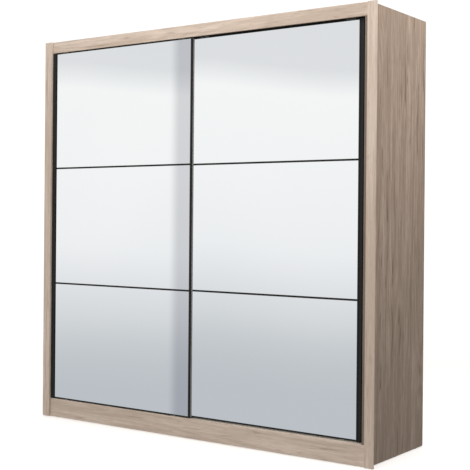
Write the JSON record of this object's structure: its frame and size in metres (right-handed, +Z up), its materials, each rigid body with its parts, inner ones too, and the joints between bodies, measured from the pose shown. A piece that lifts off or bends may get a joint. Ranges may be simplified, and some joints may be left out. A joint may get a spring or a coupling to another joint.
{
  "type": "sliding door wardrobe",
  "caption": "Free-standing wardrobe in grey-brown oak decor with mirrored sliding doors in black profiles, with shelves and a hanging rail inside.",
  "frame": {"origin": "on the floor, at the middle of the footprint", "axes": "+Z up; the front with the doors faces -Y; +X to the right seen from the front; doors slide along X"},
  "size_m": [2.14, 0.6, 2.15],
  "materials": {
    "oak_front": "laminated boards with a light grey-brown oak grain, satin",
    "oak_side": "laminated boards with an upright grey-brown oak grain, satin",
    "oak_inside": "laminated boards with a grey-brown oak grain, matt",
    "back_board": "thin printed fibreboard, matt",
    "grey_board": "grey laminated chipboard, matt",
    "mirror_glass": "silvered float glass with a fine ground edge",
    "black_profile": "extruded aluminium with a satin black coat",
    "track_coat": "extruded aluminium with a pale beige satin coat",
    "brown_trim": "narrow upright strips with a dark brown matt film",
    "zinc_steel": "zinc plated pressed steel",
    "cam_zinc": "die-cast zinc, satin",
    "chrome_tube": "chromed steel, polished",
    "white_plastic": "off-white moulded plastic",
    "nylon_wheel": "natural nylon, matt",
    "black_plastic": "black moulded plastic",
    "buffer_rubber": "soft dark rubber pads"
  },
  "bodies": {
    "carcass": {"side_panel_left": "oak_side", "side_panel_right": "oak_side", "stile_left": "oak_front", "stile_right": "oak_front", "top_rail": "oak_front", "front_plinth": "oak_front", "rear_plinth": "oak_inside", "centre_support": "oak_inside", "top_panel": "oak_inside", "bottom_panel": "oak_inside", "centre_partition": "oak_inside", "back_panel_left": "back_board", "back_panel_right": "back_board", "back_joiner": "white_plastic", "track_batten": "oak_inside", "top_track": "black_profile", "bottom_track": "track_coat", "track_stops": "black_plastic", "stop_strips": "brown_trim", "filler_strip": "brown_trim", "edge_buffers": "buffer_rubber", "hat_shelf_left": "oak_inside", "hat_shelf_right": "oak_inside", "shelf_lower": "oak_inside", "shelf_middle": "oak_inside", "shelf_upper": "oak_inside", "shelf_pins": "zinc_steel", "cam_locks": "cam_zinc", "hanging_rail": "chrome_tube", "rail_sockets": "chrome_tube", "rail_socket_screws": "zinc_steel", "wall_brackets": "zinc_steel", "bracket_screws": "zinc_steel", "floor_glides": "black_plastic"},
    "front_door": {"front_door_board": "grey_board", "front_door_mirror_bottom": "mirror_glass", "front_door_mirror_middle": "mirror_glass", "front_door_mirror_top": "mirror_glass", "front_door_dividers": "black_profile", "front_door_handle": "black_profile", "front_door_slim_edge": "black_profile", "front_door_top_edge": "black_profile", "front_door_bottom_edge": "black_profile", "front_door_rollers": "zinc_steel", "front_door_guides": "white_plastic"},
    "rear_door": {"rear_door_board": "grey_board", "rear_door_mirror_bottom": "mirror_glass", "rear_door_mirror_middle": "mirror_glass", "rear_door_mirror_top": "mirror_glass", "rear_door_dividers": "black_profile", "rear_door_handle": "black_profile", "rear_door_slim_edge": "black_profile", "rear_door_top_edge": "black_profile", "rear_door_bottom_edge": "black_profile", "rear_door_rollers": "zinc_steel", "rear_door_guides": "white_plastic"},
    "front_left_roller": {"front_wheel_left": "nylon_wheel"},
    "front_right_roller": {"front_wheel_right": "nylon_wheel"},
    "rear_left_roller": {"rear_wheel_left": "nylon_wheel"},
    "rear_right_roller": {"rear_wheel_right": "nylon_wheel"}
  },
  "joints": [
    {"name": "front_door_slide", "type": "slide", "parent": "carcass", "child": "front_door", "axis": [1, 0, 0], "range_m": [0, 0.945]},
    {"name": "rear_door_slide", "type": "slide", "parent": "carcass", "child": "rear_door", "axis": [1, 0, 0], "range_m": [-0.945, 0]},
    {"name": "front_left_wheel_spin", "type": "hinge", "parent": "front_door", "child": "front_left_roller", "pos_m": [-0.904, -0.273, 0.1157], "axis": [0, 1, 0], "range_deg": [-5, 4170]},
    {"name": "front_right_wheel_spin", "type": "hinge", "parent": "front_door", "child": "front_right_roller", "pos_m": [-0.118, -0.273, 0.1157], "axis": [0, 1, 0], "range_deg": [-5, 4170]},
    {"name": "rear_left_wheel_spin", "type": "hinge", "parent": "rear_door", "child": "rear_left_roller", "pos_m": [0.072, -0.243, 0.1157], "axis": [0, 1, 0], "range_deg": [-4170, 5]},
    {"name": "rear_right_wheel_spin", "type": "hinge", "parent": "rear_door", "child": "rear_right_roller", "pos_m": [0.873, -0.243, 0.1157], "axis": [0, 1, 0], "range_deg": [-4170, 5]}
  ],
  "couplings": [
    {"joint": "front_left_wheel_spin", "follows": "front_door_slide", "rad_per_m": 76.923},
    {"joint": "front_right_wheel_spin", "follows": "front_door_slide", "rad_per_m": 76.923},
    {"joint": "rear_left_wheel_spin", "follows": "rear_door_slide", "rad_per_m": 76.923},
    {"joint": "rear_right_wheel_spin", "follows": "rear_door_slide", "rad_per_m": 76.923}
  ]
}
